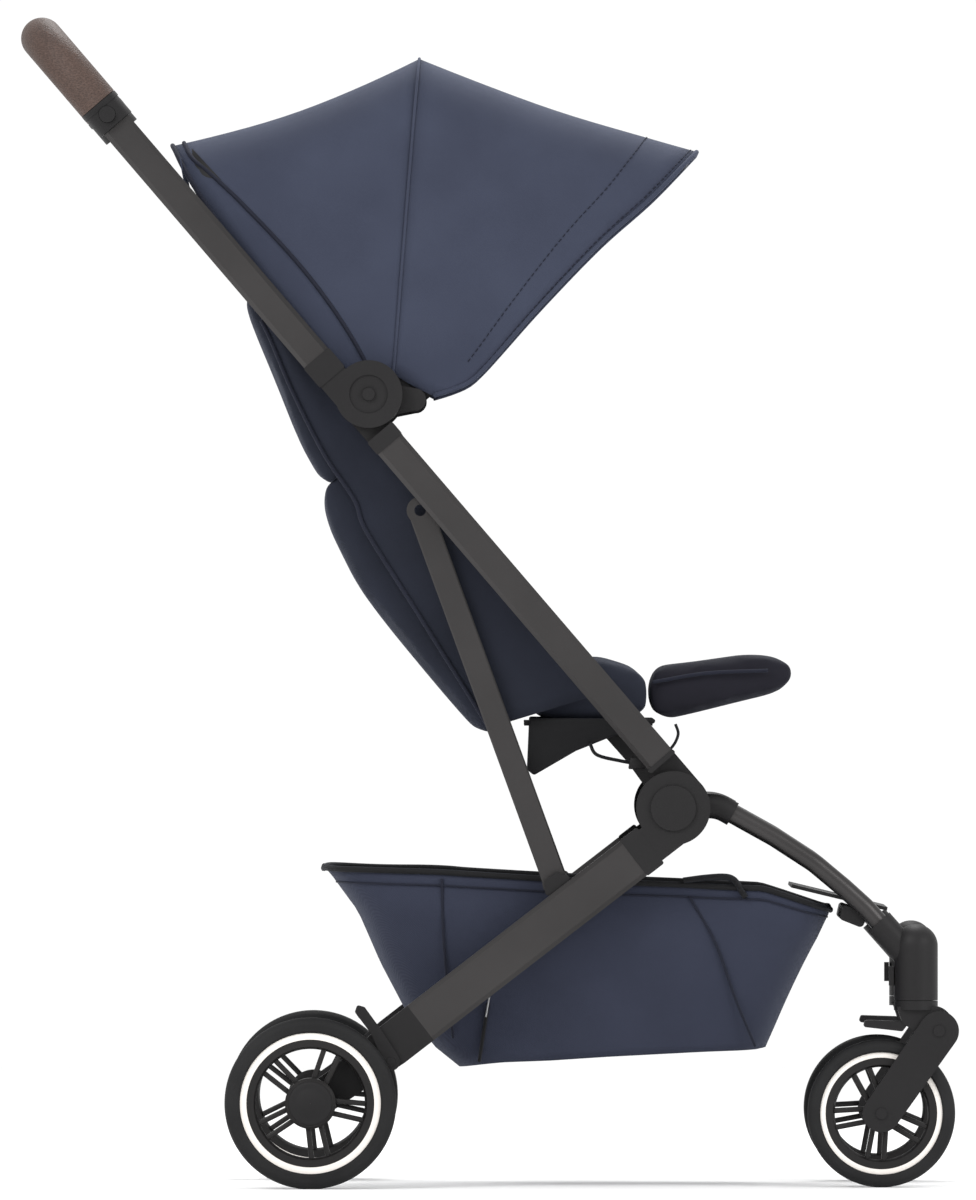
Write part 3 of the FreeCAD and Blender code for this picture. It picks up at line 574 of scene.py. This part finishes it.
def inflate(made, pressure=4.0, cap=0.010, frames=20):
    """Swells a closed mesh like stuffed cloth, no point moving further than the cap."""
    add_modifier(made, "REMESH", mode="VOXEL", voxel_size=0.006)
    applied(made)
    rest = [v.co.copy() for v in made.data.vertices]
    cloth = made.modifiers.new("cloth", "CLOTH")
    cloth.settings.use_pressure = True
    cloth.settings.uniform_pressure_force = pressure
    cloth.settings.effector_weights.gravity = 0.0
    cloth.settings.quality = 4
    cloth.settings.tension_stiffness = 22
    cloth.point_cache.frame_start, cloth.point_cache.frame_end = 1, frames
    scene = bpy.context.scene
    for step in range(1, frames + 1):
        scene.frame_set(step)
    applied(made)
    scene.frame_set(1)
    for v, was in zip(made.data.vertices, rest):
        move = v.co - was
        if move.length > cap:
            v.co = was + move.normalized() * cap
    add_modifier(made, "SMOOTH", factor=0.5, iterations=2)
    add_modifier(made, "SUBSURF", levels=1, render_levels=1)
    applied(made)
    made.data.shade_smooth()
    return made


def rounded(outline, rounds=2):
    """A closed outline with its corners cut to curves."""
    for _ in range(rounds):
        cut = []
        for (ax, az), (bx, bz) in zip(outline, outline[1:] + outline[:1]):
            cut.append((ax * 0.75 + bx * 0.25, az * 0.75 + bz * 0.25))
            cut.append((ax * 0.25 + bx * 0.75, az * 0.25 + bz * 0.75))
        outline = cut
    return outline


def pad(name, outline, half, finish, body, cad, cap=0.006):
    """A stuffed pad with a side-view outline, standing for a CAD node."""
    made = slab(name, rounded(outline, 1), -half, half, finish, body, bevel=0.005, segments=3)
    inflate(made, cap=cap)
    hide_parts(cad)
    return made


def channels(made, spots, axis, depth=0.004, width=0.006):
    """Sewn channels pressed into a pad at planes along an axis."""
    for v in made.data.vertices:
        place = v.co.dot(axis)
        for spot in spots:
            gap = (place - spot) / width
            if abs(gap) < 3:
                v.co -= v.normal * depth * math.exp(-gap * gap)


TUBE_UP = (on_tube(1, 0) - on_tube(0, 0)).normalized()


def side_points(*pairs):
    """Side-view outline from stations along and ahead of the push tube, in mm."""
    return [(p.x, p.z) for p in (on_tube(a / 1000, b / 1000) for a, b in pairs)]


def flatten_back(made):
    """Gives a piece of the seat back its own copy of its mesh."""
    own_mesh(made)


PIPING = ((566, -15), (547, -20), (500, -35), (439, -50), (391, -56), (363, -66), (277, -79),
          (184, -93), (160, -97))


def backrest():
    """Padded lower shell, slimmer upper shell, the side wings and the piping between them."""
    lower = side_points((150, -103), (200, -103.5), (246, -103), (291, -102), (331, -99),
                        (360, -92), (387, -85), (412, -73), (420, -64), (416, -44), (391, -44),
                        (363, -50), (277, -64), (184, -74), (150, -84))
    made = pad("backrest_lower_pad", lower, BACK_HALF, "seat_fabric", "backrest",
               "backrest_lower", cap=0.0045)
    flatten_back(made)
    upper = side_points((413, -67), (437, -62), (461, -57), (521, -36.5), (560, -24), (596, -11),
                        (594, 0), (560, -6), (521, -18), (461, -34), (437, -40), (413, -46))
    made = pad("backrest_upper_pad", upper, BACK_HALF, "seat_fabric", "backrest",
               "backrest_upper", cap=0.003)
    flatten_back(made)
    liner()
    for name, side in SIDES:
        wing(name, side)
        line = [on_tube(a / 1000, b / 1000, side * PIPING_Y) for a, b in PIPING]
        made = cord_piece(f"backrest_piping_{name}", line, 0.0019, "thread", "backrest", 90)
        flatten_back(made)


def liner():
    """The front of the seat back: a long soft liner with sewn channels."""
    outline = side_points((172, -70), (277, -60), (363, -46), (420, -38), (461, -29), (521, -13),
                          (574, 1), (571, 7), (521, -5), (461, -19), (420, -28), (363, -35),
                          (277, -48), (182, -56))
    made = slab("seat_back_liner", rounded(outline, 1), -LINER_HALF, LINER_HALF, "seat_fabric",
                "backrest", bevel=0.004, segments=3)
    inflate(made, cap=0.006)
    channels(made, [HUB.dot(TUBE_UP) + s for s in (0.26, 0.36, 0.46)], TUBE_UP)
    flatten_back(made)


def wing(name, side):
    """Cloth side of the seat, from the backrest's piping to the push tube."""
    lines, cells = 41, 18
    rear = spline([on_tube(a / 1000, b / 1000) for a, b in PIPING], lines)
    front = spline([on_tube(0.575, 0.002), on_tube(0.46, 0.004), on_tube(0.30, 0.004),
                    on_tube(0.16, 0.004), on_tube(0.122, -0.010)], lines)
    rows = []
    for i, (p, q) in enumerate(zip(rear, front)):
        row = []
        for k in range(cells + 1):
            u = k / cells
            spot = p.lerp(q, u)
            fold = 0.0022 * math.sin(6.0 * u + i * 0.14) * math.sin(math.pi * u)
            swell = 0.004 * math.sin(math.pi * u) + fold
            spot.y = side * (WING_Y + swell)
            row.append(spot)
        rows.append(row)
    made = sheet_piece(f"seat_side_{name}", rows, "seat_fabric", "backrest", 0.0018)
    flatten_back(made)


def seat():
    """Seat pad, black sling beneath it, and the padded leg rest."""
    low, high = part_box("seat_cushion")
    x0, x1, z0 = low[0], high[0], low[2]
    outline = [(x0 + 0.002, z0 + 0.003), (x1 + 0.001, z0 + 0.003), (x1 + 0.004, z0 + 0.020),
               (x1 + 0.003, z0 + 0.041), (x1 - 0.020, z0 + 0.047), (x1 - 0.045, z0 + 0.055),
               (x0 + 0.040, z0 + 0.044), (x0 + 0.002, z0 + 0.030)]
    made = pad("seat_pad", outline, SEAT_HALF, "seat_fabric", "chassis", "seat_cushion",
               cap=0.004)
    channels(made, [-0.05, 0.05], Vector((0, 1, 0)), depth=0.003)
    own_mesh(made)
    sling = [(x0 + 0.004, z0 - 0.044), (x0 + 0.010, z0 - 0.0485), (x0 + 0.047, z0 - 0.027),
             (x0 + 0.078, z0 - 0.0145), (x1 + 0.010, z0 - 0.002), (x1 + 0.010, z0 + 0.0015),
             (x0 + 0.006, z0 + 0.0025)]
    slab("seat_sling", sling, -SLING_HALF, SLING_HALF, "black_fabric", "chassis", bevel=0.002,
         segments=3)
    low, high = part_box("leg_rest")
    a, b, c, d = low[0], high[0], low[2], high[2]
    outline = [(a - 0.001, c + 0.001), (a + 0.014, c - 0.001), (a + 0.037, c + 0.004),
               (a + 0.081, c + 0.015), (a + 0.119, c + 0.024), (b + 0.003, c + 0.033),
               (b + 0.003, c + 0.040), (b - 0.004, c + 0.0475), (b - 0.022, d),
               (a + 0.086, d), (a + 0.066, d - 0.003), (a + 0.045, d - 0.006),
               (a + 0.028, d - 0.008), (a - 0.001, d - 0.011)]
    made = pad("leg_rest_pad", outline, REST_HALF, "rest_fabric", "leg_rest_panel", "leg_rest",
               cap=0.0035)
    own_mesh(made)
    for name, side in SIDES:
        edge = [Vector((a + 0.004, side * 0.1372, c + 0.0290)),
                Vector((a + 0.052, side * 0.1376, c + 0.0370)),
                Vector((b - 0.020, side * 0.1372, c + 0.0395))]
        piping = cord_piece(f"leg_rest_piping_{name}", edge, 0.0016, "thread",
                            "leg_rest_panel", 40)
        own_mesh(piping)


# ------------------------------------------------------------------ basket

class BasketShape:
    """The sagging tub between the legs: a point for a length x, a height share and a side."""

    def __init__(self):
        """Outlines of the ends as (x, height share), of the rim and floor as (x, z)."""
        low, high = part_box("basket")
        self.x0, self.x1, self.z0, self.z1 = low[0], high[0], low[2], high[2]
        self.half = high[1] - 0.003
        x, z = self.x0, self.z0
        self.rear = [(x + 0.121, 0.0), (x + 0.100, 0.10), (x + 0.072, 0.30), (x + 0.051, 0.52),
                     (x + 0.031, 0.78), (x + 0.006, 0.97), (x + 0.001, 1.0)]
        ahead = self.x1
        self.front = [(ahead - 0.058, 0.0), (ahead - 0.050, 0.12), (ahead - 0.030, 0.45),
                      (ahead - 0.012, 0.75), (ahead - 0.001, 0.97), (ahead - 0.001, 1.0)]
        self.rim = [(x, z + 0.181), (x + 0.107, z + 0.178), (x + 0.195, z + 0.172),
                    (x + 0.391, z + 0.163), (ahead, z + 0.144)]
        self.floor = [(x, z + 0.004), (x + 0.120, z + 0.003), (x + 0.155, z + 0.007),
                      (x + 0.385, z + 0.019), (ahead, z + 0.030)]

    @staticmethod
    def read(table, value, flip=False):
        """Linear reading of a table of pairs, by its first or its second number."""
        pairs = [(b, a) for a, b in table] if flip else table
        if value <= pairs[0][0]:
            return pairs[0][1]
        for (a, va), (b, vb) in zip(pairs, pairs[1:]):
            if value <= b:
                return va + (vb - va) * (value - a) / max(b - a, 1e-9)
        return pairs[-1][1]

    def width(self, height):
        """Half width at a height share."""
        return self.half * (0.86 + 0.14 * min(1.0, height * 1.25)) + 0.003 * math.sin(
            math.pi * height)

    def spot(self, turn, height):
        """Point round the tub at a turn from 0 to 1, at a height share."""
        rear = self.read(self.rear, height, flip=True)
        front = self.read(self.front, height, flip=True)
        half = self.width(height)
        angle = 2 * math.pi * turn
        c, s = math.cos(angle), math.sin(angle)
        power = 0.30
        x = (rear + front) / 2 + (front - rear) / 2 * math.copysign(abs(c) ** power, c)
        y = half * math.copysign(abs(s) ** power, s)
        z = self.level(x, height)
        slack = 0.0016 * noise.noise(Vector((x * 14, y * 14, z * 11)))
        return Vector((x, y * (1 + slack * 4), z + slack))

    def level(self, x, height):
        """Height above the ground at a length and a height share."""
        return self.read(self.floor, x) * (1 - height) + self.read(self.rim, x) * height

    def side(self, x, height, side, lift=0.0014):
        """Point just outside a long wall, for a seam or a zip."""
        return Vector((x, side * (self.width(height) + lift), self.level(x, height)))


def basket():
    """The tub with its floor, binding, seams and zips."""
    shape = BasketShape()
    around, levels = 128, 20
    verts, faces = [], []
    for i in range(levels + 1):
        verts += [shape.spot(k / around, i / levels) for k in range(around)]
    for i in range(levels):
        for k in range(around):
            a, b = i * around + k, i * around + (k + 1) % around
            faces.append((a, b, b + around, a + around))
    middle = Vector((sum(v.x for v in verts[:around]) / around, 0, shape.z0 + 0.008))
    rings = 6
    for r in range(1, rings):
        share = 1 - r / rings
        verts += [Vector((middle.x + (v.x - middle.x) * share, v.y * share,
                          shape.level(middle.x + (v.x - middle.x) * share, 0.0)))
                  for v in verts[:around]]
    base = (levels + 1) * around
    for r in range(rings - 1):
        inner, outer = base + r * around, 0 if r == 0 else base + (r - 1) * around
        for k in range(around):
            n = (k + 1) % around
            faces.append((outer + n, outer + k, inner + k, inner + n))
    verts.append(Vector((middle.x, 0, shape.level(middle.x, 0.0))))
    last, tip = base + (rings - 2) * around, len(verts) - 1
    faces += [(last + (k + 1) % around, last + k, tip) for k in range(around)]
    made = piece("basket_tub", verts, faces, "basket_fabric", "rear_frame")
    add_modifier(made, "SOLIDIFY", thickness=0.0018, offset=-1.0)
    applied(made)
    made.data.shade_smooth()
    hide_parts("basket")
    soft = [made]
    rim = [verts[levels * around + k] for k in range(around)] + [verts[levels * around]]
    soft.append(cord_piece("basket_rim_binding", [p + Vector((0, 0, -0.001)) for p in rim],
                           0.0034, "black_fabric", "rear_frame", 260, flat=0.8))
    hem = [shape.spot(k / around, 0.925) for k in range(around + 1)]
    hem = [p + Vector((0, math.copysign(0.0012, p.y), 0)) for p in hem]
    soft.append(cord_piece("basket_hem_seam", hem, 0.0008, "thread", "rear_frame", 260))
    for name, side in SIDES:
        x = shape.x0
        rear = [shape.side(x + 0.106, 0.96, side), shape.side(x + 0.108, 0.6, side),
                shape.side(x + 0.116, 0.15, side)]
        front = [shape.side(x + 0.325, 0.93, side), shape.side(x + 0.348, 0.66, side),
                 shape.side(x + 0.366, 0.32, side), shape.side(x + 0.384, 0.02, side)]
        soft.append(cord_piece(f"basket_rear_seam_{name}", rear, 0.0012, "thread",
                               "rear_frame", 40))
        soft.append(cord_piece(f"basket_front_seam_{name}", front, 0.0012, "thread",
                               "rear_frame", 50))
        zip_line = [shape.side(x + 0.147, 0.32, side, 0.002),
                    shape.side(x + 0.139, 0.02, side, 0.002)]
        soft.append(cord_piece(f"basket_zip_{name}", zip_line, 0.0032, "black_fabric",
                               "rear_frame", 30, flat=0.5))
        puller = [zip_line[0] + Vector((0.001, side * 0.002, 0.006)),
                  zip_line[0] + Vector((-0.002, side * 0.003, -0.012))]
        cord_piece(f"basket_zip_puller_{name}", puller, 0.0018, "silver", "rear_frame", 8,
                   flat=0.5)
    for item in soft:
        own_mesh(item)


# ------------------------------------------------------------------ wheels

def slotted_wheel(name, cad, body, centre, seat, ring_in, hub, angles, half=0.009):
    """Dark five-spoke rim with a white ring let into it; each spoke is a pair of bars."""
    y = centre.y
    side = math.copysign(1, y)
    profile = [(-half, seat), (half, seat), (half, ring_in - 0.006), (half * 0.6, ring_in - 0.008),
               (-half * 0.6, ring_in - 0.008), (-half, ring_in - 0.006), (-half, seat)]
    rim = lathe(f"{name}_rim", centre, profile, "rim", body)
    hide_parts(cad)
    for way in (-1, 1):
        face = way * (half + 0.0003)
        ring = [(face - way * 0.002, ring_in), (face, ring_in + 0.0004),
                (face + way * 0.0004, (ring_in + seat) / 2), (face, seat - 0.0004),
                (face - way * 0.002, seat)]
        lathe(f"{name}_white_ring_{'outer' if way == side else 'inner'}", centre, ring, "ring",
              body)
    spokes = []
    for angle in angles:
        turn = math.radians(angle)
        along = Vector((math.cos(turn), 0, math.sin(turn)))
        across = Vector((-along.z, 0, along.x))
        inner, outer = hub * 0.85, ring_in - 0.004
        wide_in, wide_out, bar = 0.0078, 0.0100, 0.0046
        for way in (-1, 1):
            shape = [along * inner + across * way * (wide_in - bar),
                     along * inner + across * way * wide_in,
                     along * outer + across * way * wide_out,
                     along * outer + across * way * (wide_out - bar)]
            if way < 0:
                shape.reverse()
            spokes.append([(centre.x + p.x, centre.z + p.z) for p in shape])
    for index, outline in enumerate(spokes):
        slab(f"{name}_spoke_{index}", outline, y - 0.0062, y + 0.0062, "rim", body, bevel=0.0014,
             segments=3)
    boss = [(-0.0120, 0.0052), (-0.0120, hub * 0.9), (-0.010, hub), (0.010, hub),
            (0.0120, hub * 0.9), (0.0120, 0.0052)]
    lathe(f"{name}_boss", centre, boss, "rim", body)
    cap = [(side * 0.0118, hub - 0.003), (side * 0.0128, hub - 0.0035),
           (side * 0.0136, hub * 0.72), (side * 0.0132, hub * 0.62), (side * 0.0138, hub * 0.55),
           (side * 0.0141, 0.0002)]
    lathe(f"{name}_cap", centre, cap if side > 0 else cap[::-1], "plastic", body)


def wheels():
    """A rear and a front wheel on each side, fitted to the rims of the frame."""
    for name, _ in SIDES:
        for end, sizes in (("rear", REAR_WHEEL), ("front", FRONT_WHEEL)):
            low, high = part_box(f"{end}_rim_{name}")
            centre = (Vector(low) + Vector(high)) / 2
            slotted_wheel(f"{end}_wheel_{name}", f"{end}_rim_{name}", f"{end}_wheel_{name}",
                          centre, (high[2] - low[2]) / 2, **sizes)


# ------------------------------------------------------------------ straps and small pieces

def straps():
    """Strap over the basket, and the elastic, strap and buckle under the seat."""
    carry = [(0.171, 0.2720), (0.190, 0.2745), (0.207, 0.2755), (0.2155, 0.2730),
             (0.2215, 0.2650), (0.226, 0.2570)]
    cord_piece("carry_strap", [Vector((x, STRAP_Y, z)) for x, z in carry], 0.0090, "webbing",
               "front_frame", 50, flat=0.33)
    tail = [(0.164, 0.411), (0.1665, 0.403), (0.164, 0.395), (0.159, 0.388)]
    cord_piece("seat_elastic", [Vector((x, STRAP_Y, z)) for x, z in tail], 0.0060, "webbing",
               "chassis", 24, flat=0.22)
    under = [(0.088, 0.394), (0.094, 0.384), (0.112, 0.379), (0.134, 0.376), (0.142, 0.382)]
    cord_piece("under_seat_strap", [Vector((x, STRAP_Y, z)) for x, z in under], 0.0045,
               "webbing", "chassis", 40, flat=0.35)
    slab("under_seat_buckle", [(0.122, 0.371), (0.138, 0.371), (0.140, 0.380), (0.124, 0.382)],
         STRAP_Y - 0.006, STRAP_Y + 0.004, "plastic", "chassis", bevel=0.0015)


def harness():
    """Shoulder and lap webbing lying on the seat, with its buckle."""
    made = []
    for name, way in SIDES:
        shoulder = [on_tube(0.47, -0.020, way * 0.060), on_tube(0.38, -0.046, way * 0.058),
                    on_tube(0.30, -0.056, way * 0.052), on_tube(0.225, -0.054, way * 0.030),
                    Vector((0.056, way * 0.012, 0.474))]
        made.append(cord_piece(f"harness_shoulder_{name}", shoulder, 0.0110, "webbing",
                               "backrest", 60, flat=0.09))
        cover = shoulder[0:3]
        made.append(cord_piece(f"harness_pad_{name}", cover, 0.0200, "seat_fabric", "backrest",
                               40, flat=0.26, sides=14))
    for item in made:
        flatten_back(item)
    crotch = [Vector((0.082, 0, 0.464)), Vector((0.076, 0, 0.472)), Vector((0.066, 0, 0.476))]
    lap = cord_piece("harness_crotch", crotch, 0.0120, "webbing", "chassis", 16, flat=0.1)
    buckle = slab("harness_buckle", [(0.048, 0.470), (0.068, 0.474), (0.066, 0.483),
                                     (0.046, 0.479)], -0.018, 0.018, "plastic", "chassis",
                  bevel=0.003, segments=3)
    for item in (lap, buckle):
        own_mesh(item)


# ------------------------------------------------------------------ finishes, light and camera

def paint_frame():
    """Each part of the frame in the finish its record names."""
    slots = {s["node"]: s["material_slot"] for s in frame["record"]["subparts"]}
    for name, shown in frame["nodes"].items():
        shown.data.materials.clear()
        shown.data.materials.append(FINISH[slots[name]])


def studio():
    """White floor and world, three soft lights, and a distant camera from the right."""
    floor = bpy.data.meshes.new("floor")
    floor.from_pydata([(-6, -6, 0), (6, -6, 0), (6, 6, 0), (-6, 6, 0)], [], [(0, 1, 2, 3)])
    ground = bpy.data.objects.new("floor", floor)
    bpy.context.scene.collection.objects.link(ground)
    white = bpy.data.materials.new("studio_white")
    white.use_nodes = True
    shader = white.node_tree.nodes["Principled BSDF"]
    shader.inputs["Base Color"].default_value = (0.95, 0.95, 0.95, 1)
    shader.inputs["Roughness"].default_value = 0.9
    floor.materials.append(white)
    world = bpy.data.worlds.new("studio")
    bpy.context.scene.world = world
    world.use_nodes = True
    world.node_tree.nodes["Background"].inputs[0].default_value = (1.0, 1.0, 1.0, 1)
    world.node_tree.nodes["Background"].inputs[1].default_value = 1.03
    for place, aim, power, reach in (((-1.6, -2.6, 2.4), (0, 0, 0.55), 62, 1.6),
                                     ((2.4, -2.0, 1.5), (0, 0, 0.5), 34, 1.4),
                                     ((0.2, 1.4, 2.9), (0, 0, 0.6), 40, 1.2)):
        data = bpy.data.lights.new("soft_light", "AREA")
        data.energy, data.size = power, reach
        lamp = bpy.data.objects.new("soft_light", data)
        lamp.location = place
        way = Vector(aim) - Vector(place)
        lamp.rotation_euler = way.to_track_quat("-Z", "Y").to_euler()
        bpy.context.scene.collection.objects.link(lamp)
    data = bpy.data.cameras.new("camera")
    camera = bpy.data.objects.new("camera", data)
    bpy.context.scene.collection.objects.link(camera)
    distance, near_side, shown, film = 24.0, 0.2, 1.062, 36
    data.lens = film * (distance - near_side) / shown
    data.sensor_fit, data.sensor_width = "AUTO", film
    data.clip_end = 100
    camera.location = (-0.0022, -distance, 0.521)
    camera.rotation_euler = (math.pi / 2, 0, 0)
    bpy.context.scene.camera = camera
    bpy.context.scene.view_settings.view_transform = "Standard"


paint_frame()
canopy()
backrest()
seat()
basket()
wheels()
straps()
harness()
studio()
